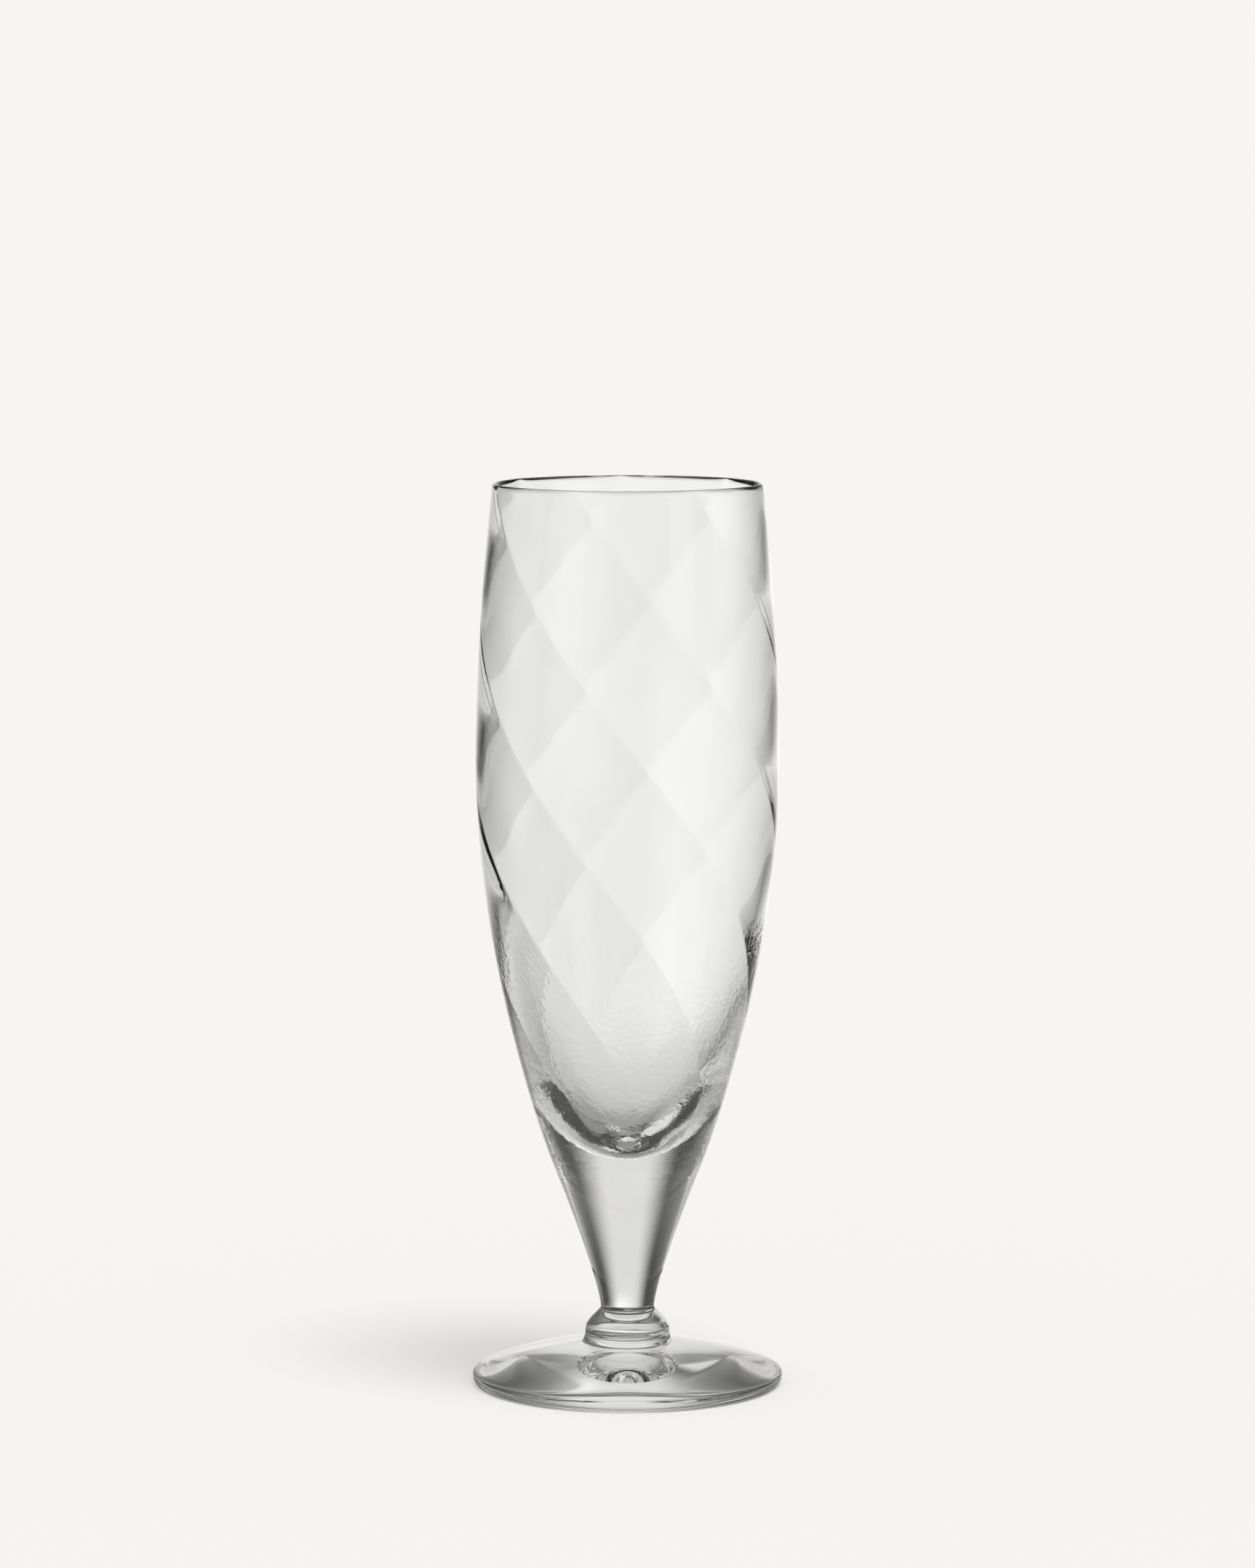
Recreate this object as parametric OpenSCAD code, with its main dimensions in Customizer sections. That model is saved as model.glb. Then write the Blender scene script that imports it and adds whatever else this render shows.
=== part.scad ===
// Pilsner glass: a blown bowl with a twisted optic inside, a solid cone stem, a knop and a domed foot.
// All four pieces are turned about the Z axis, and the foot stands on z = 0.

/* [Foot] */
// Widest diameter of the foot
foot_d = 70.7; // [60:0.1:85]
// Height of the foot at the flat seat under the knop
foot_h = 9.4; // [7.5:0.1:14]
// Height of the widest line above the table
foot_edge_h = 1.9; // [1.2:0.1:2.4]
// Height of the rounded edge, where the dome starts
foot_brow_h = 3; // [2.6:0.05:4]
// Inset of the dome's start from the widest line
foot_brow_inset = 0.75; // [0.4:0.05:2]
// Inset of the table line from the widest line
foot_table_inset = 0.9; // [0.4:0.05:2]
// Width of the flat ring that the glass stands on
rest_ring_w = 4; // [3:0.5:14]
// Depth of the hollow inside that ring
foot_hollow = 0.6; // [0.3:0.1:3]

/* [Knop] */
// Diameter of the knop where it seats on the foot
knop_base_d = 20.7; // [19.6:0.1:28]
// Diameter of the knop at its shoulder
knop_d = 19.2; // [15:0.1:20.4]
// Height of the shoulder above the seat
knop_shoulder_h = 2.8; // [2:0.1:4]
// Height of the knop
knop_h = 8; // [6:0.1:14]

/* [Stem] */
// Diameter of the neck, where the stem meets the knop
neck_d = 12.2; // [10:0.1:15]
// Height of the solid stem
stem_h = 32.6; // [24:0.1:60]
// Diameter of the join between stem and bowl
join_d = 33.6; // [28:0.1:38]

/* [Bowl] */
// Height of the bowl above the join
bowl_h = 155; // [130:1:190]
// Widest diameter of the bowl
belly_d = 68.5; // [60:0.1:80]
// Height of the widest line above the join
belly_h = 92; // [75:1:105]
// Diameter of the rim
rim_d = 60.9; // [52:0.1:66]
// Thickness of the rounded lip
lip_t = 0.9; // [0.8:0.05:2.5]
// Wall along the creases of the optic
crease_wall = 1.15; // [0.8:0.05:2.5]
// Solid glass between the join and the cavity
floor_t = 4.4; // [3:0.1:12]
// Radius of curvature at the bottom of the cavity
floor_r = 10; // [6:0.1:12]

/* [Optic] */
// Number of panels round the cavity
optic_panels = 7; // [5:1:10]
// How far the panels stand in from the creases at the belly
optic_depth = 0.35; // [0.1:0.05:2.4]
// Height below the lip over which the wall and the panels reach their full depth
optic_fade_h = 70; // [20:1:100]
// Turn of the creases from the lip to the cavity's bottom, in degrees
optic_turn = 200; // [0:5:270]
// Angle of the first crease at the lip, in degrees from +X
optic_start = 41; // [0:1:51]

/* [Hidden] */
// Segments of a full turn, steps along each curve, rings of the cavity and points across one panel
$fn = 96;
curve_steps = 20;
cavity_rings = 36;
panel_points = 14;
// How far a cut runs past the face that it opens
overrun = 2;

// Shape of the curves: a pull is a handle's length, a fall or taper is a slope
crown_pull_share = 0.32;
crown_fall_share = 0.17;
brow_pull_share = 0.3;
brow_fall_share = 0.43;
edge_pull_share = 0.6;
neck_pull_share = 0.12;
shoulder_pull_share = 0.46;
flare_pull_share = 0.5;
flare_inset_share = 0.4;
flare_fall_share = 0.22;
stem_foot_pull_share = 0.06;
stem_top_pull_share = 0.66;
join_taper_share = 0.4;
bowl_foot_pull_share = 0.11;
belly_low_pull_share = 0.45;
belly_high_pull_share = 0.335;
rim_pull_share = 0.275;
rim_taper_share = 0.11;
// Share of the optic's depth that is left at the lip, and share of half a panel that rounds its crease
optic_lip_share = 0.85;
optic_round_share = 0.03;
// Power that flattens a panel's middle and steepens its sides
optic_power = 3;
// Power that blends the cavity's wall into its bottom, and power that sets its rings closer there
floor_blend = 14;
ring_spread = 1.7;
// Places of the rings inside the lip, in degrees round it from the outside
lip_angles = [100, 125, 150, 180];

// Heights of the three joins, the rim, the widest line and the bottom of the cavity
neck_z = foot_h + knop_h;
join_z = neck_z + stem_h;
rim_z = join_z + bowl_h;
belly_z = join_z + belly_h;
floor_z = join_z + floor_t;

// Radii of the turned pieces
foot_r = foot_d / 2;
table_r = foot_r - foot_table_inset;
hollow_r = table_r - rest_ring_w;
brow_r = foot_r - foot_brow_inset;
seat_r = knop_base_d / 2;
shoulder_r = knop_d / 2;
neck_r = neck_d / 2;
join_r = join_d / 2;
belly_r = belly_d / 2;
rim_r = rim_d / 2;
lip_r = lip_t / 2;

glass_tint = [0.86, 0.9, 0.9, 0.45];

// Point on a cubic curve with ends a and d and handles b and c
function on_curve(a, b, c, d, t) =
  a * pow(1 - t, 3) + b * 3 * t * pow(1 - t, 2) + c * 3 * t * t * (1 - t) + d * pow(t, 3);

// The same curve as a row of points
function curve(a, b, c, d) = [for (i = [0:curve_steps]) on_curve(a, b, c, d, i / curve_steps)];

// Point of the rounded lip at an angle from the outside
lip_mid = [rim_r - lip_r, rim_z - lip_r];
function on_lip(angle) = lip_mid + lip_r * [cos(angle), sin(angle)];

// Outside of the stem, from the neck to the join
stem_side = curve(
  [neck_r, neck_z],
  [neck_r, neck_z + stem_h * stem_foot_pull_share],
  [join_r - stem_h * stem_top_pull_share * join_taper_share, join_z - stem_h * stem_top_pull_share],
  [join_r, join_z]
);

// Outside of the bowl, from the join past the widest line to the lip
lip_start = on_lip(atan(rim_taper_share));
upper_h = rim_z - belly_z;
bowl_side = concat(
  curve(
    [join_r, join_z],
    [join_r + belly_h * bowl_foot_pull_share * join_taper_share, join_z + belly_h * bowl_foot_pull_share],
    [belly_r, belly_z - belly_h * belly_low_pull_share],
    [belly_r, belly_z]
  ),
  [for (p = curve(
    [belly_r, belly_z],
    [belly_r, belly_z + upper_h * belly_high_pull_share],
    lip_start + upper_h * rim_pull_share * [rim_taper_share, -1],
    lip_start
  )) if (p[1] > belly_z) p]
);

// Outer radius of the bowl at a height
bowl_side_by_height = [for (p = bowl_side) [p[1], p[0]]];
function outer_r(z) = lookup(z, bowl_side_by_height);

// How far the optic has come in at a height: none at the rim, all of it below the fade
function fade(z) = let (t = min(1, (rim_z - z) / optic_fade_h)) t * t * (3 - 2 * t);

// Radius of the cavity along its creases: the wall eases in from the lip and rounds into the bottom
function crease_r(z) =
  let (
    wall_r = outer_r(z) - lip_t + (lip_t - crease_wall) * fade(z),
    round_r = sqrt(2 * floor_r * (z - floor_z))
  )
  pow(pow(wall_r, -floor_blend) + pow(round_r, -floor_blend), -1 / floor_blend);

// Depth of the panels at a height and radius: they ease towards the lip and narrow with the cavity
function panel_depth(z, r) =
  optic_depth * (r / belly_r) * (optic_lip_share + (1 - optic_lip_share) * fade(z));

// Rise of one panel across its width, where u runs from crease to crease as -1 to 1
function panel_rise(u) =
  let (off_crease = sqrt(pow(1 - abs(u), 2) + pow(optic_round_share, 2)) - optic_round_share)
  1 - pow(1 - off_crease, optic_power);

// Rings of the cavity from above the lip to near its bottom, each as radius and height along the creases
cavity_top_z = rim_z - lip_t;
cavity_sides = concat(
  [[on_lip(lip_angles[0])[0], rim_z + overrun]],
  [for (a = lip_angles) on_lip(a)],
  [
    for (i = [cavity_rings:-1:1])
    let (z = floor_z + (cavity_top_z - floor_z) * pow(i / cavity_rings, ring_spread))
    [crease_r(z), z]
  ]
);

// One ring of the cavity, turned with the optic, with its points closer together at the creases
ring_points = optic_panels * panel_points;
function crease_angle(z) = optic_start + optic_turn * (rim_z - z) / (rim_z - floor_z);
function ring(side) = [
  for (panel = [0:optic_panels - 1], k = [0:panel_points - 1])
  let (
    u = -cos(180 * k / panel_points),
    r = side[0] - panel_depth(min(side[1], rim_z), side[0]) * panel_rise(u),
    a = crease_angle(side[1]) + 360 * (panel + (1 + u) / 2) / optic_panels
  )
  [r * cos(a), r * sin(a), side[1]]
];

// The cavity as one closed solid, open at the rim by the overrun
module cavity() {
  rows = len(cavity_sides);
  tip = rows * ring_points;
  points = concat([for (side = cavity_sides) each ring(side)], [[0, 0, floor_z]]);
  last = (rows - 1) * ring_points;
  faces = concat(
    [[for (k = [ring_points - 1:-1:0]) k]],
    [
      for (i = [0:rows - 2], k = [0:ring_points - 1])
      let (a = i * ring_points + k, b = i * ring_points + (k + 1) % ring_points)
      each [[a, b, b + ring_points], [a, b + ring_points, a + ring_points]]
    ],
    [for (k = [0:ring_points - 1]) [last + k, last + (k + 1) % ring_points, tip]]
  );
  polyhedron(points, faces);
}

// Blown bowl: smooth outside, with the cavity and its optic cut out of it
module bowl() {
  lip_points = [for (i = [1:curve_steps]) on_lip(90 * i / curve_steps)];
  lip_outside = [for (p = lip_points) if (p[1] > lip_start[1]) p];
  color(glass_tint)
  difference() {
    rotate_extrude()
    polygon(concat([[0, join_z]], bowl_side, lip_outside, [[0, rim_z]]));
    cavity();
  }
}

// Solid stem that tapers down from the bowl to the neck
module stem() {
  color(glass_tint)
  rotate_extrude()
  polygon(concat([[0, neck_z]], stem_side, [[0, join_z]]));
}

// Bell-shaped knop that flares out onto the foot
module knop() {
  shoulder_z = foot_h + knop_shoulder_h;
  side = concat(
    curve(
      [neck_r, neck_z],
      [neck_r, neck_z - knop_h * neck_pull_share],
      [shoulder_r, shoulder_z + (neck_z - shoulder_z) * shoulder_pull_share],
      [shoulder_r, shoulder_z]
    ),
    curve(
      [shoulder_r, shoulder_z],
      [shoulder_r, shoulder_z - knop_shoulder_h * flare_pull_share],
      [seat_r - (seat_r - shoulder_r) * flare_inset_share, foot_h + knop_shoulder_h * flare_fall_share],
      [seat_r, foot_h]
    )
  );
  color(glass_tint)
  rotate_extrude()
  polygon(concat([[0, neck_z]], side, [[0, foot_h]]));
}

// Domed foot with a rounded edge, a flat ring to stand on and a shallow hollow inside it
module foot() {
  run = brow_r - seat_r;
  dome = curve(
    [seat_r, foot_h],
    [seat_r + run * crown_pull_share, foot_h - run * crown_pull_share * crown_fall_share],
    [brow_r - run * brow_pull_share, foot_brow_h + run * brow_pull_share * brow_fall_share],
    [brow_r, foot_brow_h]
  );
  edge = concat(
    curve(
      [brow_r, foot_brow_h],
      [brow_r, foot_brow_h] + foot_brow_inset * edge_pull_share * [1, -brow_fall_share],
      [foot_r, foot_edge_h + (foot_brow_h - foot_edge_h) * edge_pull_share],
      [foot_r, foot_edge_h]
    ),
    curve(
      [foot_r, foot_edge_h],
      [foot_r, foot_edge_h * (1 - edge_pull_share)],
      [table_r + foot_table_inset * edge_pull_share, 0],
      [table_r, 0]
    )
  );
  hollow = [
    for (i = [curve_steps:-1:0])
    let (s = i / curve_steps)
    [hollow_r * s, foot_hollow * pow(1 - s * s, 2)]
  ];
  color(glass_tint)
  rotate_extrude()
  polygon(concat([[0, foot_h]], dome, edge, hollow));
}

bowl();
stem();
knop();
foot();
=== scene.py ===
"""Looks of a clear pilsner glass: a blown bowl with a twisted optic, a solid stem, a knop and a foot."""

import logging
import math
from dataclasses import dataclass
from enum import Enum

import bmesh
import bpy
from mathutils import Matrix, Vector


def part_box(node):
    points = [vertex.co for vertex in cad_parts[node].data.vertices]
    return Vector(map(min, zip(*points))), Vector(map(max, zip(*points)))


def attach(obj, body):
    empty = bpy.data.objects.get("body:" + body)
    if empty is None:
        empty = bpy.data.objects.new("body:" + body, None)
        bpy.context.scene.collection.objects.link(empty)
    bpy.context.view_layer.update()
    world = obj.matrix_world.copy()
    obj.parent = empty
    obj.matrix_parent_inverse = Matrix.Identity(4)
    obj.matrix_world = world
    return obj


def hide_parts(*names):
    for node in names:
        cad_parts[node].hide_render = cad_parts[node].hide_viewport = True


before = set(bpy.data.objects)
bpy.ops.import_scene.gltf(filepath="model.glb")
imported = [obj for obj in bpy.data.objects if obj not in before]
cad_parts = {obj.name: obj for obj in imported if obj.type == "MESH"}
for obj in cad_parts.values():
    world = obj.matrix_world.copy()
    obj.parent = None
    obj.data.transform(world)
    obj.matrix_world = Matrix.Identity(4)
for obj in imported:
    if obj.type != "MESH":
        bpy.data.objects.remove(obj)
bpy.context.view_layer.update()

LOG = logging.getLogger("pilsner_glass")
MM = 0.001
BODY = "root"
NECK_R = 6.1 * MM
CRACKLE_FADE = 20 * MM

Point = tuple[float, float]


class Face(Enum):
    """Which material a face of a glass piece takes, by its place in the piece's list."""

    CLEAR = 0
    FUSED = 1


def bezier(a: Point, b: Point, c: Point, d: Point, steps: int) -> list[Point]:
    """Rows of points along one cubic curve.

    Args:
        a: Start, as radius and height.
        b: Handle of the start.
        c: Handle of the end.
        d: End.
        steps: Number of spans between the start and the end.

    Returns:
        The points from start to end.
    """
    ends = [Vector(p) for p in (a, b, c, d)]
    points = []
    for i in range(steps + 1):
        t = i / steps
        shares = ((1 - t) ** 3, 3 * t * (1 - t) ** 2, 3 * t * t * (1 - t), t**3)
        points.append(tuple(sum((e * s for e, s in zip(ends, shares)), Vector((0.0, 0.0)))))
    return points


def joined(*curves: list[Point]) -> list[Point]:
    """One row of points from curves that start where the last one ends."""
    points = list(curves[0])
    for curve in curves[1:]:
        points.extend(curve[1:])
    return points


def smooth_step(t: float) -> float:
    """Eases from 0 to 1 as t runs from 0 to 1, and stays there outside."""
    t = min(1.0, max(0.0, t))
    return t * t * (3 - 2 * t)


class Nodes:
    """Small builder for one node tree."""

    def __init__(self, tree: bpy.types.NodeTree) -> None:
        """Takes the tree to build in."""
        self.tree = tree

    def add(self, kind: str, inputs: dict | None = None, **settings: object) -> bpy.types.Node:
        """Adds one node.

        Args:
            kind: The node's type name.
            inputs: Values or output sockets by input name or number.
            settings: Properties of the node itself.

        Returns:
            The new node.
        """
        node = self.tree.nodes.new(kind)
        for key, value in settings.items():
            setattr(node, key, value)
        for key, value in (inputs or {}).items():
            if isinstance(value, bpy.types.NodeSocket):
                self.tree.links.new(value, node.inputs[key])
            else:
                node.inputs[key].default_value = value
        return node

    def math(self, operation: str, *values: object) -> bpy.types.NodeSocket:
        """Adds one step of arithmetic and returns its result."""
        return self.add("ShaderNodeMath", dict(enumerate(values)), operation=operation).outputs[0]

    def eased(self, value: bpy.types.NodeSocket, none: float, full: float) -> bpy.types.NodeSocket:
        """Eases a value from 0 at none to 1 at full and returns the result."""
        limits = {"Value": value, "From Min": none, "From Max": full}
        node = self.add("ShaderNodeMapRange", limits, interpolation_type="SMOOTHSTEP")
        return node.outputs["Result"]


@dataclass(frozen=True)
class ClearGlass:
    """Clear fire-polished glass with the faint ripple that blowing and tooling leave."""

    name: str
    tint: tuple[float, float, float]
    index: float
    ripple_scale: tuple[float, float, float]
    ripple_height: float
    crackle_scale: float
    crackle_share: float
    crackle_top: float

    def material(self) -> bpy.types.Material:
        """Builds the material.

        Returns:
            Smooth clear glass with a rippled normal.
        """
        material = bpy.data.materials.new(self.name)
        material.use_nodes = True
        material.node_tree.nodes.clear()
        nodes = Nodes(material.node_tree)
        ripple = nodes.add(
            "ShaderNodeGroup",
            {
                "Place": nodes.add("ShaderNodeTexCoord").outputs["Object"],
                "Scale": self.ripple_scale,
                "Fine Scale": self.crackle_scale,
                "Fine Share": self.crackle_share,
                "Fine Top": self.crackle_top,
            },
            node_tree=ripple_group(),
        )
        bump = nodes.add(
            "ShaderNodeBump",
            {"Height": ripple.outputs["Height"], "Distance": self.ripple_height, "Strength": 1.0},
        )
        glass = nodes.add(
            "ShaderNodeBsdfPrincipled",
            {
                "Base Color": (*self.tint, 1.0),
                "Metallic": 0.0,
                "Roughness": 0.0,
                "IOR": self.index,
                "Transmission Weight": 1.0,
                "Normal": bump.outputs["Normal"],
            },
        )
        nodes.add("ShaderNodeOutputMaterial", {"Surface": glass.outputs["BSDF"]})
        return material


def fused_material() -> bpy.types.Material:
    """Material of a face where two gathers are fused: light passes as if nothing were there."""
    material = bpy.data.materials.get("fused_join")
    if material is None:
        material = bpy.data.materials.new("fused_join")
        material.use_nodes = True
        material.node_tree.nodes.clear()
        nodes = Nodes(material.node_tree)
        clear = nodes.add("ShaderNodeBsdfTransparent")
        nodes.add("ShaderNodeOutputMaterial", {"Surface": clear.outputs["BSDF"]})
    return material


def ripple_group() -> bpy.types.NodeTree:
    """Shader group for the soft waves that tools leave on hot glass, with a fine crackle low down."""
    name = "blown_ripple"
    group = bpy.data.node_groups.get(name)
    if group is None:
        group = bpy.data.node_groups.new(name, "ShaderNodeTree")
        group.interface.new_socket("Place", in_out="INPUT", socket_type="NodeSocketVector")
        group.interface.new_socket("Scale", in_out="INPUT", socket_type="NodeSocketVector")
        for size in ("Fine Scale", "Fine Share", "Fine Top"):
            group.interface.new_socket(size, in_out="INPUT", socket_type="NodeSocketFloat")
        group.interface.new_socket("Height", in_out="OUTPUT", socket_type="NodeSocketFloat")
        nodes = Nodes(group)
        given = nodes.add("NodeGroupInput")
        place = given.outputs["Place"]
        noise = {"Detail": 1.0, "Roughness": 0.4}
        scaled = {0: place, 1: given.outputs["Scale"]}
        spread = nodes.add("ShaderNodeVectorMath", scaled, operation="MULTIPLY")
        waves = nodes.add("ShaderNodeTexNoise", {"Vector": spread.outputs[0], "Scale": 1.0, **noise})
        fine = nodes.add(
            "ShaderNodeTexNoise", {"Vector": place, "Scale": given.outputs["Fine Scale"], **noise}
        )
        height = nodes.add("ShaderNodeSeparateXYZ", {0: place}).outputs["Z"]
        below = nodes.math("SUBTRACT", given.outputs["Fine Top"], height)
        part = nodes.math("MULTIPLY", nodes.eased(below, 0.0, CRACKLE_FADE), given.outputs["Fine Share"])
        total = nodes.math("MULTIPLY_ADD", fine.outputs["Fac"], part, waves.outputs["Fac"])
        nodes.add("NodeGroupOutput", {"Height": total})
    return group


BLOWN = ClearGlass(
    name="blown_glass",
    tint=(0.985, 0.99, 0.99),
    index=1.5,
    ripple_scale=(60.0, 60.0, 25.0),
    ripple_height=0.02 * MM,
    crackle_scale=800.0,
    crackle_share=2.0,
    crackle_top=115 * MM,
)
SOLID = ClearGlass(
    name="solid_glass",
    tint=(0.985, 0.99, 0.99),
    index=1.5,
    ripple_scale=(90.0, 90.0, 40.0),
    ripple_height=0.005 * MM,
    crackle_scale=280.0,
    crackle_share=0.1,
    crackle_top=60 * MM,
)


def turned(name: str, side: list[Point], angles: list[float], joins: tuple[bool, bool]) -> bpy.types.Object:
    """Turns an outline about the Z axis into one closed mesh.

    Args:
        name: Name of the object.
        side: Outline from the axis below to the axis above, with only its ends on the axis.
        angles: Angle of each column of points, in radians.
        joins: Whether the first and the last span are faces that are fused to a neighbour.

    Returns:
        The new object, smooth but for the rims of its fused faces.
    """
    mesh = bpy.data.meshes.new(name)
    work = bmesh.new()
    bottom = work.verts.new((0.0, 0.0, side[0][1]))
    top = work.verts.new((0.0, 0.0, side[-1][1]))
    rings = [[work.verts.new((r * math.cos(a), r * math.sin(a), z)) for a in angles] for r, z in side[1:-1]]
    count = len(angles)
    for k in range(count):
        n = (k + 1) % count
        first = work.faces.new((bottom, rings[0][n], rings[0][k]))
        last = work.faces.new((top, rings[-1][k], rings[-1][n]))
        first.material_index = Face.FUSED.value if joins[0] else Face.CLEAR.value
        last.material_index = Face.FUSED.value if joins[1] else Face.CLEAR.value
        for low, high in zip(rings, rings[1:]):
            work.faces.new((low[k], low[n], high[n], high[k]))
    for face in work.faces:
        face.smooth = True
    for edge in work.edges:
        kinds = {face.material_index for face in edge.link_faces}
        edge.smooth = len(kinds) < 2
    work.to_mesh(mesh)
    work.free()
    piece = bpy.data.objects.new(name, mesh)
    bpy.context.scene.collection.objects.link(piece)
    return piece


def even_angles(count: int) -> list[float]:
    """Angles of columns spread evenly round a turn."""
    return [math.tau * k / count for k in range(count)]


def hand_over(piece: bpy.types.Object, node: str) -> None:
    """Puts a finished piece in the place of its solid.

    Args:
        piece: The finished piece.
        node: Name of the solid that it stands for.
    """
    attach(piece, BODY)
    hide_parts(node)
    LOG.info("%s stands for %s with %d faces", piece.name, node, len(piece.data.polygons))


@dataclass
class Bowl:
    """Blown bowl: smooth outside, rounded lip and a twisted optic inside."""

    join_r: float
    join_z: float
    belly_r: float
    rim_z: float
    belly_h: float = 92 * MM
    rim_r: float = 30.45 * MM
    lip_t: float = 0.9 * MM
    crease_wall: float = 1.15 * MM
    floor_t: float = 4.4 * MM
    floor_r: float = 10 * MM
    panels: int = 7
    depth: float = 0.35 * MM
    fade_h: float = 70 * MM
    turn: float = 200.0
    start: float = 41.0
    join_taper: float = 0.4
    foot_pull: float = 0.11
    belly_low_pull: float = 0.45
    belly_high_pull: float = 0.335
    rim_pull: float = 0.275
    rim_taper: float = 0.11
    lip_share: float = 0.85
    crease_share: float = 0.03
    panel_power: float = 3.0
    floor_blend: float = 14.0
    ring_spread: float = 1.7
    rows: int = 130
    panel_points: int = 22
    lip_steps: int = 14

    @property
    def floor_z(self) -> float:
        """Height of the cavity's lowest point."""
        return self.join_z + self.floor_t

    def lip_point(self, angle: float) -> Point:
        """Point of the rounded lip at an angle in degrees from its outside."""
        lip_r = self.lip_t / 2
        a = math.radians(angle)
        return (self.rim_r - lip_r + lip_r * math.cos(a), self.rim_z - lip_r + lip_r * math.sin(a))

    def outside(self) -> list[Point]:
        """Outline of the outside.

        Returns:
            Points from the join to the start of the lip.
        """
        start = (self.join_r, self.join_z)
        belly = (self.belly_r, self.join_z + self.belly_h)
        lip = self.lip_point(math.degrees(math.atan(self.rim_taper)))
        low = self.belly_h * self.foot_pull
        high = self.rim_z - belly[1]
        rim = high * self.rim_pull
        return joined(
            bezier(
                start,
                (start[0] + low * self.join_taper, start[1] + low),
                (belly[0], belly[1] - self.belly_h * self.belly_low_pull),
                belly,
                self.rows * 2 // 3,
            ),
            bezier(
                belly,
                (belly[0], belly[1] + high * self.belly_high_pull),
                (lip[0] + rim * self.rim_taper, lip[1] - rim),
                lip,
                self.rows // 3,
            ),
        )

    def crease_r(self, z: float, outside: list[Point]) -> float:
        """Radius of the cavity along the creases of its optic.

        Args:
            z: Height.
            outside: Outline of the outside, from low to high.

        Returns:
            The wall's inner radius, blended into the rounded bottom.
        """
        i = max(k for k, p in enumerate(outside[:-1]) if p[1] <= z or k == 0)
        (r0, z0), (r1, z1) = outside[i], outside[i + 1]
        outer = r0 + (r1 - r0) * (z - z0) / (z1 - z0)
        fade = smooth_step((self.rim_z - z) / self.fade_h)
        wall = self.lip_t + (self.crease_wall - self.lip_t) * fade
        bottom = math.sqrt(2 * self.floor_r * (z - self.floor_z))
        power = self.floor_blend
        return ((outer - wall) ** -power + bottom**-power) ** (-1 / power)

    def inside(self, outside: list[Point]) -> list[Point]:
        """Outline of the cavity along its creases, from below the lip to just above its lowest point."""
        top = self.rim_z - self.lip_t
        points = []
        for i in range(self.rows, 0, -1):
            z = self.floor_z + (top - self.floor_z) * (i / self.rows) ** self.ring_spread
            points.append((self.crease_r(z, outside), z))
        return points

    def build(self) -> bpy.types.Object:
        """Builds the bowl.

        Returns:
            The bowl's object, with its optic in the mesh.
        """
        outside = self.outside()
        taper = math.degrees(math.atan(self.rim_taper))
        span = (180.0 - taper) / self.lip_steps
        lip = [self.lip_point(taper + span * i) for i in range(1, self.lip_steps + 1)]
        inside = self.inside(outside)
        side = [(0.0, self.join_z), *outside, *lip, *inside, (0.0, self.floor_z)]
        piece = turned("bowl_piece", side, self.columns(), (True, False))
        self.mark_inside(piece, len(outside))
        shape_with_optic(piece, self)
        return piece

    def columns(self) -> list[float]:
        """Angles of the columns, closer together at the creases than in the middle of a panel."""
        step = math.tau / self.panels
        turns = [math.pi * (k / self.panel_points - 0.5) for k in range(self.panel_points)]
        across = [(1 + math.sin(turn)) / 2 for turn in turns]
        return [step * (panel + u) for panel in range(self.panels) for u in across]

    def mark_inside(self, piece: bpy.types.Object, outer_rows: int) -> None:
        """Marks the points that the optic moves.

        Args:
            piece: The turned bowl.
            outer_rows: Number of rows on the outside, which come first.
        """
        first = 2 + outer_rows * len(self.columns())
        mask = piece.data.attributes.new("inside", "FLOAT", "POINT")
        for i in range(len(piece.data.vertices)):
            mask.data[i].value = 1.0 if i >= first else 0.0


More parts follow.
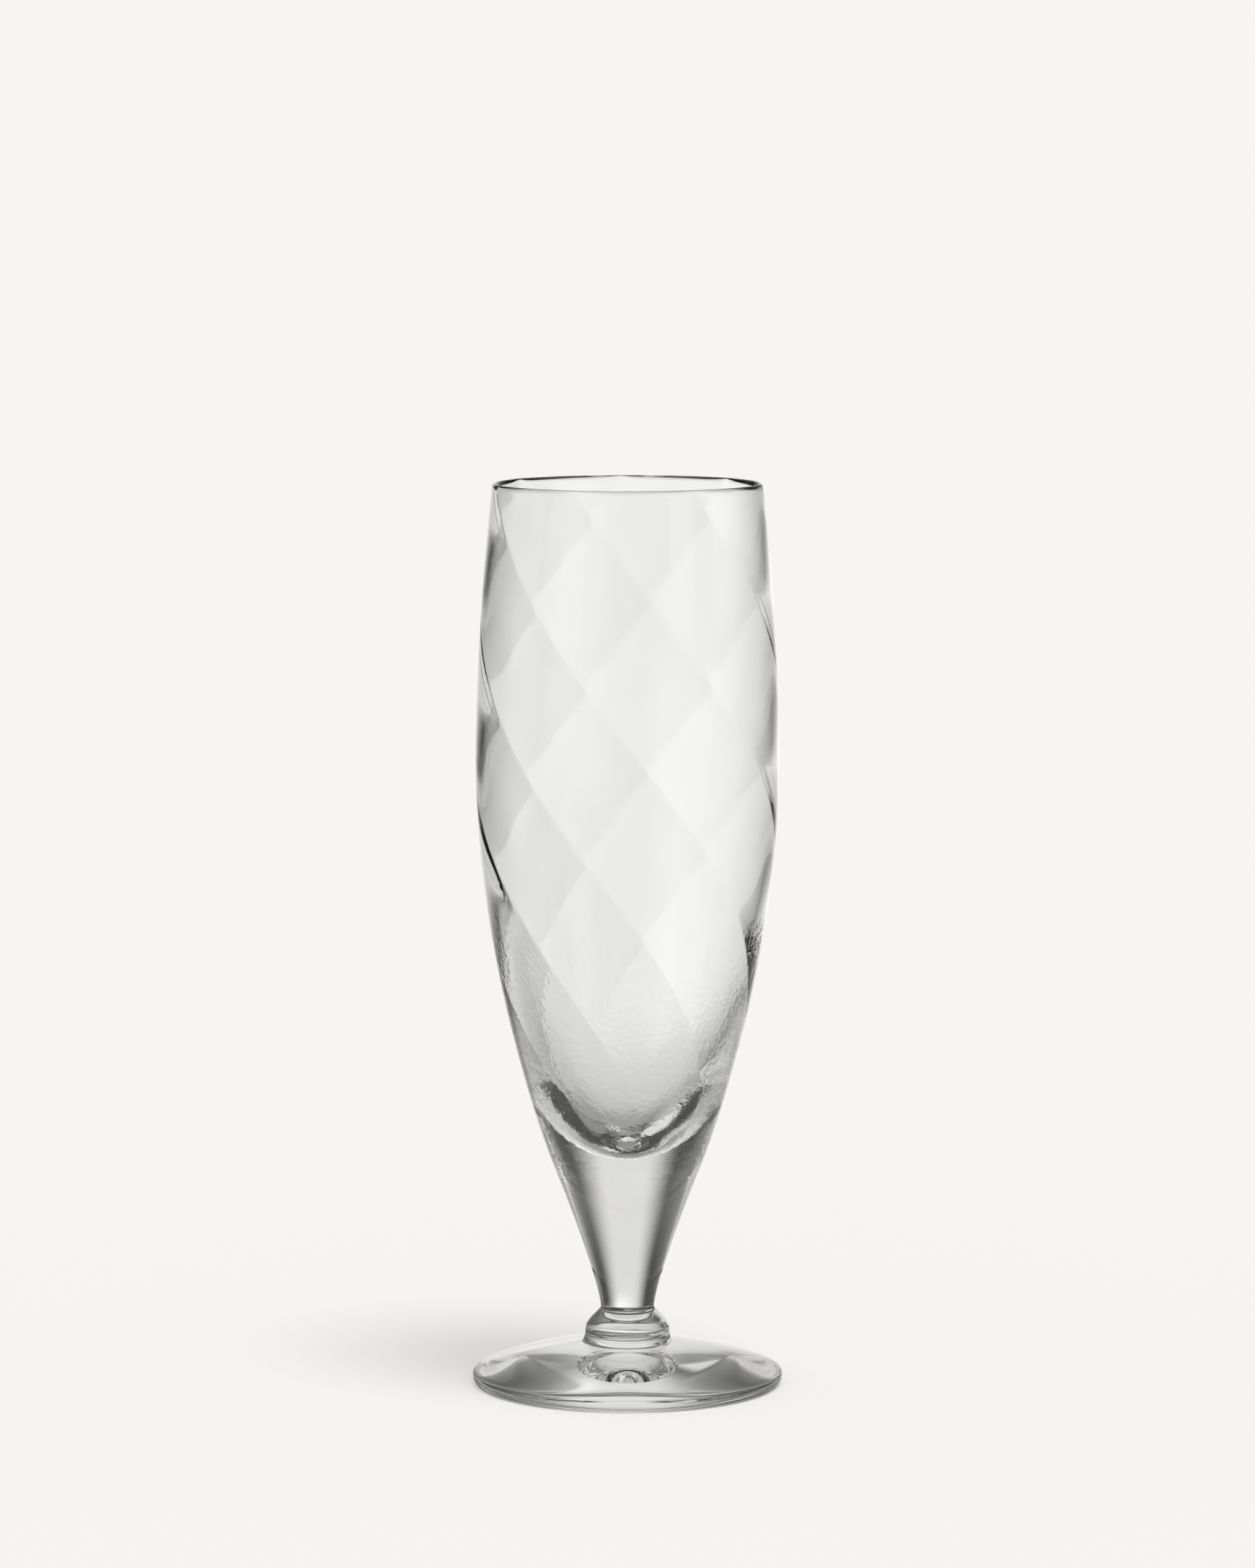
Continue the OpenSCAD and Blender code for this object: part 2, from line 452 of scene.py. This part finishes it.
def optic_tree() -> bpy.types.NodeTree:
    """Geometry tree that presses twisted panels into the inside of a turned bowl.

    Returns:
        The tree, with a named input for each of the optic's sizes.
    """
    tree = bpy.data.node_groups.new("twisted_optic", "GeometryNodeTree")
    tree.interface.new_socket("Geometry", in_out="INPUT", socket_type="NodeSocketGeometry")
    sizes = ("Panels", "Depth", "Turn", "Start", "Rim", "Floor", "Belly", "Fade")
    for name in (*sizes, "Lip Share", "Crease Share", "Power"):
        tree.interface.new_socket(name, in_out="INPUT", socket_type="NodeSocketFloat")
    for name in ("Glass", "Fused"):
        tree.interface.new_socket(name, in_out="INPUT", socket_type="NodeSocketMaterial")
    tree.interface.new_socket("Geometry", in_out="OUTPUT", socket_type="NodeSocketGeometry")
    nodes = Nodes(tree)
    given = nodes.add("NodeGroupInput").outputs
    place = nodes.add("GeometryNodeInputPosition").outputs[0]
    x, y, z = nodes.add("ShaderNodeSeparateXYZ", {0: place}).outputs
    mask = nodes.add("GeometryNodeInputNamedAttribute", {"Name": "inside"}, data_type="FLOAT")
    inside = mask.outputs["Attribute"]

    radius = nodes.math("SQRT", nodes.math("ADD", nodes.math("MULTIPLY", x, x), nodes.math("MULTIPLY", y, y)))
    angle = nodes.math("ARCTAN2", y, x)
    number = nodes.math("DIVIDE", nodes.math("MULTIPLY", angle, given["Panels"]), math.tau)
    panel = nodes.math("FRACT", number)
    across = nodes.math("MULTIPLY_ADD", panel, 2.0, -1.0)

    off_crease = nodes.math("SUBTRACT", 1.0, nodes.math("ABSOLUTE", across))
    soft = given["Crease Share"]
    soft_square = nodes.math("MULTIPLY", soft, soft)
    squares = nodes.math("ADD", nodes.math("MULTIPLY", off_crease, off_crease), soft_square)
    eased = nodes.math("SUBTRACT", nodes.math("SQRT", squares), soft)
    fall = nodes.math("POWER", nodes.math("SUBTRACT", 1.0, eased), given["Power"])
    rise = nodes.math("SUBTRACT", 1.0, fall)

    drop = nodes.math("SUBTRACT", given["Rim"], z)
    fade = nodes.add(
        "ShaderNodeMapRange",
        {
            "Value": drop,
            "From Min": 0.0,
            "From Max": given["Fade"],
            "To Min": given["Lip Share"],
            "To Max": 1.0,
        },
        interpolation_type="SMOOTHSTEP",
    ).outputs["Result"]
    depth = nodes.math("MULTIPLY", nodes.math("DIVIDE", radius, given["Belly"]), given["Depth"])
    press = nodes.math("MULTIPLY", nodes.math("MULTIPLY", depth, fade), nodes.math("MULTIPLY", rise, inside))
    new_radius = nodes.math("SUBTRACT", radius, press)

    whole = nodes.math("SUBTRACT", given["Rim"], given["Floor"])
    full_turn = nodes.math("MULTIPLY", given["Turn"], inside)
    twist = nodes.math("MULTIPLY", nodes.math("DIVIDE", drop, whole), full_turn)
    new_angle = nodes.math("ADD", angle, nodes.math("ADD", given["Start"], twist))
    moved = nodes.add(
        "ShaderNodeCombineXYZ",
        {
            0: nodes.math("MULTIPLY", new_radius, nodes.math("COSINE", new_angle)),
            1: nodes.math("MULTIPLY", new_radius, nodes.math("SINE", new_angle)),
            2: z,
        },
    ).outputs[0]
    mesh = nodes.add("GeometryNodeSetPosition", {"Geometry": given["Geometry"], "Position": moved}).outputs[0]
    mesh = nodes.add("GeometryNodeRealizeInstances", {0: mesh}).outputs[0]
    kind = nodes.add("GeometryNodeInputMaterialIndex").outputs[0]
    for face, name in ((Face.CLEAR, "Glass"), (Face.FUSED, "Fused")):
        chosen = nodes.math("COMPARE", kind, float(face.value), 0.5)
        inputs = {"Geometry": mesh, "Selection": chosen, "Material": given[name]}
        mesh = nodes.add("GeometryNodeSetMaterial", inputs).outputs[0]
    nodes.add("NodeGroupOutput", {0: mesh})
    return tree


def shape_with_optic(piece: bpy.types.Object, bowl: Bowl) -> None:
    """Gives a turned bowl its optic and leaves it a plain mesh.

    Args:
        piece: The turned bowl, with its inside marked.
        bowl: The sizes of the optic.
    """
    glass, fused = BLOWN.material(), fused_material()
    piece.data.materials.append(glass)
    piece.data.materials.append(fused)
    tree = optic_tree()
    modifier = piece.modifiers.new("optic", "NODES")
    modifier.node_group = tree
    values = {
        "Panels": float(bowl.panels),
        "Depth": bowl.depth,
        "Turn": math.radians(bowl.turn),
        "Start": math.radians(bowl.start),
        "Rim": bowl.rim_z,
        "Floor": bowl.floor_z,
        "Belly": bowl.belly_r,
        "Fade": bowl.fade_h,
        "Lip Share": bowl.lip_share,
        "Crease Share": bowl.crease_share,
        "Power": bowl.panel_power,
        "Glass": glass,
        "Fused": fused,
    }
    for socket in tree.interface.items_tree:
        if socket.in_out == "INPUT" and socket.name in values:
            modifier[socket.identifier] = values[socket.name]
    graph = bpy.context.evaluated_depsgraph_get()
    shaped = bpy.data.meshes.new_from_object(piece.evaluated_get(graph))
    piece.modifiers.remove(modifier)
    piece.data = shaped


@dataclass
class Stem:
    """Solid cone between the bowl and the knop."""

    neck_r: float
    neck_z: float
    join_r: float
    join_z: float
    join_taper: float = 0.4
    foot_pull: float = 0.06
    top_pull: float = 0.66
    rows: int = 70
    columns: int = 180

    def build(self) -> bpy.types.Object:
        """Builds the stem and returns its object."""
        height = self.join_z - self.neck_z
        pull = height * self.top_pull
        side = bezier(
            (self.neck_r, self.neck_z),
            (self.neck_r, self.neck_z + height * self.foot_pull),
            (self.join_r - pull * self.join_taper, self.join_z - pull),
            (self.join_r, self.join_z),
            self.rows,
        )
        outline = [(0.0, self.neck_z), *side, (0.0, self.join_z)]
        return turned("stem_piece", outline, even_angles(self.columns), (True, True))


@dataclass
class Knop:
    """Bell-shaped bulge that flares out onto the foot."""

    neck_r: float
    neck_z: float
    seat_r: float
    seat_z: float
    shoulder_r: float = 9.6 * MM
    shoulder_h: float = 2.8 * MM
    neck_pull: float = 0.12
    shoulder_pull: float = 0.46
    flare_pull: float = 0.5
    flare_inset: float = 0.4
    flare_fall: float = 0.22
    mark_deep: float = 0.015 * MM
    mark_pitches: tuple[float, float] = (1.6 * MM, 2.3 * MM)
    mark_leans: tuple[float, float] = (0.03, -0.05)
    mark_end_share: float = 0.12
    rows: int = 48
    columns: int = 180

    def build(self) -> bpy.types.Object:
        """Builds the knop and returns its object."""
        shoulder_z = self.seat_z + self.shoulder_h
        flare = self.seat_r - self.shoulder_r
        side = joined(
            bezier(
                (self.seat_r, self.seat_z),
                (self.seat_r - flare * self.flare_inset, self.seat_z + self.shoulder_h * self.flare_fall),
                (self.shoulder_r, shoulder_z - self.shoulder_h * self.flare_pull),
                (self.shoulder_r, shoulder_z),
                self.rows,
            ),
            bezier(
                (self.shoulder_r, shoulder_z),
                (self.shoulder_r, shoulder_z + (self.neck_z - shoulder_z) * self.shoulder_pull),
                (self.neck_r, self.neck_z - (self.neck_z - self.seat_z) * self.neck_pull),
                (self.neck_r, self.neck_z),
                self.rows,
            ),
        )
        outline = [(0.0, self.seat_z), *side, (0.0, self.neck_z)]
        piece = turned("knop_piece", outline, even_angles(self.columns), (True, True))
        self.tool_marks(piece)
        return piece

    def tool_marks(self, piece: bpy.types.Object) -> None:
        """Presses the shallow lines into a knop's side that its shaping tool leaves.

        Args:
            piece: The turned knop.
        """
        for point in piece.data.vertices:
            x, y, z = point.co
            share = (z - self.seat_z) / (self.neck_z - self.seat_z)
            ends = smooth_step(share / self.mark_end_share) * smooth_step((1 - share) / self.mark_end_share)
            radius = math.hypot(x, y)
            if ends * radius > 0:
                waves = sum(
                    math.sin(math.tau * (z + lean * x) / pitch)
                    for pitch, lean in zip(self.mark_pitches, self.mark_leans)
                )
                grown = 1 + self.mark_deep * ends * waves / radius
                point.co = (x * grown, y * grown, z)


@dataclass
class Foot:
    """Domed disc with a rounded edge, a flat ring to stand on and a shallow hollow inside it."""

    outer_r: float
    seat_r: float
    seat_z: float
    edge_h: float = 1.9 * MM
    brow_h: float = 3 * MM
    brow_inset: float = 0.75 * MM
    table_inset: float = 0.9 * MM
    ring_w: float = 4 * MM
    hollow: float = 0.6 * MM
    crown_pull: float = 0.32
    crown_fall: float = 0.17
    brow_pull: float = 0.3
    brow_fall: float = 0.43
    edge_pull: float = 0.6
    dome_rows: int = 80
    edge_rows: int = 16
    hollow_rows: int = 40
    columns: int = 240

    def build(self) -> bpy.types.Object:
        """Builds the foot and returns its object."""
        table_r = self.outer_r - self.table_inset
        hollow_r = table_r - self.ring_w
        shares = [i / self.hollow_rows for i in range(1, self.hollow_rows + 1)]
        under = [(hollow_r * s, self.hollow * (1 - s * s) ** 2) for s in shares]
        outline = [(0.0, self.hollow), *under, *self.edge(table_r), *self.dome()[1:], (0.0, self.seat_z)]
        return turned("foot_piece", outline, even_angles(self.columns), (False, True))

    def edge(self, table_r: float) -> list[Point]:
        """Rounded edge from the table line over the widest line to the start of the dome."""
        brow_r = self.outer_r - self.brow_inset
        reach = self.brow_inset * self.edge_pull
        return joined(
            bezier(
                (table_r, 0.0),
                (table_r + self.table_inset * self.edge_pull, 0.0),
                (self.outer_r, self.edge_h * (1 - self.edge_pull)),
                (self.outer_r, self.edge_h),
                self.edge_rows,
            ),
            bezier(
                (self.outer_r, self.edge_h),
                (self.outer_r, self.edge_h + (self.brow_h - self.edge_h) * self.edge_pull),
                (brow_r + reach, self.brow_h - reach * self.brow_fall),
                (brow_r, self.brow_h),
                self.edge_rows,
            ),
        )

    def dome(self) -> list[Point]:
        """Top of the foot from its edge up to the seat of the knop."""
        brow_r = self.outer_r - self.brow_inset
        run = brow_r - self.seat_r
        brow, crown = run * self.brow_pull, run * self.crown_pull
        return bezier(
            (brow_r, self.brow_h),
            (brow_r - brow, self.brow_h + brow * self.brow_fall),
            (self.seat_r + crown, self.seat_z - crown * self.crown_fall),
            (self.seat_r, self.seat_z),
            self.dome_rows,
        )


@dataclass(frozen=True)
class Glow:
    """Soft bright field of the studio, as the glass sees it.

    Angles are in degrees: azimuth from +Y towards +X, elevation up from level. Each span is none, full,
    full, none.
    """

    name: str
    azimuths: tuple[float, float, float, float]
    elevations: tuple[float, float, float, float]
    level: float

    def brightness(
        self, nodes: Nodes, azimuth: bpy.types.NodeSocket, elevation: bpy.types.NodeSocket
    ) -> bpy.types.NodeSocket:
        """Brightness of this field in a direction.

        Args:
            nodes: Builder of the world's tree.
            azimuth: Azimuth of the direction, in radians.
            elevation: Elevation of the direction, in radians.

        Returns:
            A value that is the field's level inside it and 0 outside.
        """
        total: bpy.types.NodeSocket | float = self.level
        for angle, span in ((azimuth, self.azimuths), (elevation, self.elevations)):
            for none, full in (span[:2], span[:1:-1]):
                ramp = nodes.eased(angle, math.radians(none), math.radians(full))
                total = nodes.math("MULTIPLY", total, ramp)
        total.node.label = self.name
        return total


ALL_ROUND = (-181.0, -180.0, 180.0, 181.0)
STRIP_HEIGHTS = (0.0, 4.0, 35.0, 45.0)

# The last three are the pale ground that the glass stands before when it is seen from other sides.
GLOWS = (
    Glow("backdrop", (-30.0, -8.0, 10.0, 36.0), (-4.0, 4.0, 16.0, 45.0), 0.81),
    Glow("sweep", (-30.0, -8.0, 10.0, 36.0), (-75.0, -18.0, -4.0, 4.0), 0.82),
    Glow("horizon", (-14.0, 9.0, 10.0, 24.0), (-24.0, -12.0, -2.0, 6.0), 0.32),
    Glow("right_glow", (8.0, 18.0, 30.0, 50.0), (-20.0, -12.0, -6.0, 4.0), 0.14),
    Glow("right_ground", (12.0, 30.0, 45.0, 75.0), (-55.0, -30.0, -20.0, -10.0), 0.26),
    Glow("canopy", (-60.0, -15.0, 15.0, 60.0), (16.0, 45.0, 60.0, 85.0), 0.46),
    Glow("ceiling", ALL_ROUND, (30.0, 60.0, 90.0, 91.0), 0.33),
    Glow("walls", ALL_ROUND, (8.0, 22.0, 40.0, 60.0), 0.08),
    Glow("table", (-70.0, -35.0, 35.0, 60.0), (-91.0, -90.0, -70.0, -45.0), 0.25),
    Glow("front_left", (-181.0, -180.0, -140.0, -75.0), (-24.0, -2.0, 90.0, 91.0), 0.32),
    Glow("front_right", (75.0, 140.0, 180.0, 181.0), (-24.0, -2.0, 90.0, 91.0), 0.28),
    Glow("left_near", (-106.0, -104.0, -74.0, -64.0), STRIP_HEIGHTS, 0.4),
    Glow("left_far", (-146.0, -144.0, -126.0, -124.0), STRIP_HEIGHTS, 0.35),
    Glow("right_near", (64.0, 74.0, 104.0, 106.0), STRIP_HEIGHTS, 0.55),
    Glow("right_far", (124.0, 126.0, 144.0, 146.0), STRIP_HEIGHTS, 0.5),
    Glow("ground_left", (-63.0, -52.0, -38.0, -28.0), (-80.0, -55.0, -20.0, -11.0), 0.8),
    Glow("ground_side", (-112.0, -96.0, -84.0, -68.0), (-24.0, -8.0, 0.0, 4.0), 0.6),
    Glow("ground_front", (98.0, 118.0, 150.0, 172.0), (-50.0, -30.0, -4.0, 4.0), 0.75),
)


@dataclass
class Studio:
    """Pale floor, soft light and the camera of the photograph."""

    pale: tuple[float, float, float] = (0.922, 0.913, 0.896)
    floor_side: float = 60.0
    shade: float = 0.8
    ambient: float = 0.4
    dusk: float = 0.065
    sun_power: float = 0.92
    sun_spread: float = 18.0
    sun_tilt: float = 15.0
    sun_turn: float = 40.0
    bounces: int = 32
    lens: float = 139.3
    sensor_width: float = 36.0
    eye: tuple[float, float, float] = (0.0, -1.361, 0.288)
    pitch: float = 6.33

    def camera(self) -> None:
        """Places the camera as in the photograph."""
        data = bpy.data.cameras.new("camera")
        data.lens = self.lens
        data.sensor_width = self.sensor_width
        camera = bpy.data.objects.new("camera", data)
        camera.location = self.eye
        camera.rotation_euler = (math.radians(90.0 - self.pitch), 0.0, 0.0)
        bpy.context.scene.collection.objects.link(camera)
        bpy.context.scene.camera = camera

    def floor(self) -> None:
        """Lays the pale floor, which holds the glass's faint shadow."""
        mesh = bpy.data.meshes.new("floor")
        half = self.floor_side / 2
        corners = [(-half, -half, 0), (half, -half, 0), (half, half, 0), (-half, half, 0)]
        mesh.from_pydata(corners, [], [(0, 1, 2, 3)])
        floor = bpy.data.objects.new("floor", mesh)
        bpy.context.scene.collection.objects.link(floor)
        material = bpy.data.materials.new("pale_floor")
        material.use_nodes = True
        material.node_tree.nodes.clear()
        nodes = Nodes(material.node_tree)
        lit = self.ambient + math.cos(math.radians(self.sun_tilt)) * self.sun_power / math.pi
        rest = 1.0 - self.shade * lit
        glow = nodes.add("ShaderNodeEmission", {"Color": (*self.pale, 1.0), "Strength": rest})
        matt = nodes.add("ShaderNodeBsdfDiffuse", {"Color": (self.shade, self.shade, self.shade, 1.0)})
        both = nodes.add("ShaderNodeAddShader", {0: glow.outputs[0], 1: matt.outputs[0]})
        nodes.add("ShaderNodeOutputMaterial", {"Surface": both.outputs[0]})
        mesh.materials.append(material)
        floor.visible_transmission = False
        floor.visible_glossy = False

    def lamp(self) -> None:
        """Hangs the broad soft lamp on the right that casts the shadow."""
        data = bpy.data.lights.new("soft_lamp", "SUN")
        data.energy = self.sun_power
        data.color = self.pale
        data.angle = math.radians(self.sun_spread)
        lamp = bpy.data.objects.new("soft_lamp", data)
        lamp.rotation_euler = (math.radians(self.sun_tilt), 0.0, math.radians(self.sun_turn))
        lamp.visible_glossy = False
        lamp.visible_transmission = False
        bpy.context.scene.collection.objects.link(lamp)

    def world(self) -> None:
        """Lights the glass with soft bright fields between dim walls, before the pale backdrop."""
        world = bpy.data.worlds.new("studio")
        world.use_nodes = True
        bpy.context.scene.world = world
        world.node_tree.nodes.clear()
        nodes = Nodes(world.node_tree)
        way = nodes.add("ShaderNodeTexCoord").outputs["Generated"]
        x, y, z = nodes.add("ShaderNodeSeparateXYZ", {0: way}).outputs
        azimuth = nodes.math("ARCTAN2", x, y)
        elevation = nodes.math("ARCSINE", z)
        bright: bpy.types.NodeSocket | float = 0.0
        for glow in GLOWS:
            bright = nodes.math("ADD", bright, glow.brightness(nodes, azimuth, elevation))
        tone = nodes.math("MULTIPLY_ADD", bright, 1.0 - self.dusk, self.dusk)
        light = nodes.add("ShaderNodeLightPath").outputs
        through = nodes.math("MAXIMUM", light["Is Glossy Ray"], light["Is Transmission Ray"])
        plain = nodes.math("MULTIPLY_ADD", light["Is Camera Ray"], 1.0 - self.ambient, self.ambient)
        strength = nodes.add("ShaderNodeMix", {0: through, 2: plain, 3: tone}, data_type="FLOAT").outputs[0]
        backdrop = nodes.add("ShaderNodeBackground", {"Color": (*self.pale, 1.0), "Strength": strength})
        nodes.add("ShaderNodeOutputWorld", {"Surface": backdrop.outputs[0]})

    def build(self) -> None:
        """Sets up the whole studio."""
        scene = bpy.context.scene
        scene.view_settings.view_transform = "Standard"
        scene.cycles.max_bounces = self.bounces
        scene.cycles.transmission_bounces = self.bounces
        scene.cycles.glossy_bounces = self.bounces
        scene.cycles.transparent_max_bounces = self.bounces
        scene.cycles.use_denoising = True
        scene.cycles.denoising_input_passes = "RGB"
        self.camera()
        self.floor()
        self.lamp()
        self.world()


def main() -> None:
    """Builds the studio and the four pieces of the glass."""
    logging.basicConfig(level=logging.INFO, format="%(name)s: %(message)s")
    Studio().build()
    boxes = {node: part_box(node) for node in ("bowl", "stem", "knop", "foot")}
    join_r, join_z = boxes["stem"][1][0], boxes["stem"][1][2]
    neck_z = boxes["knop"][1][2]
    seat_r, seat_z = boxes["knop"][1][0], boxes["foot"][1][2]

    bowl = Bowl(join_r, join_z, boxes["bowl"][1][0], boxes["bowl"][1][2]).build()
    hand_over(bowl, "bowl")
    solids = {
        "stem": Stem(NECK_R, neck_z, join_r, join_z).build(),
        "knop": Knop(NECK_R, neck_z, seat_r, seat_z).build(),
        "foot": Foot(boxes["foot"][1][0], seat_r, seat_z).build(),
    }
    glass = SOLID.material()
    for node, piece in solids.items():
        piece.data.materials.append(glass)
        piece.data.materials.append(fused_material())
        hand_over(piece, node)


if __name__ == "__main__":
    main()
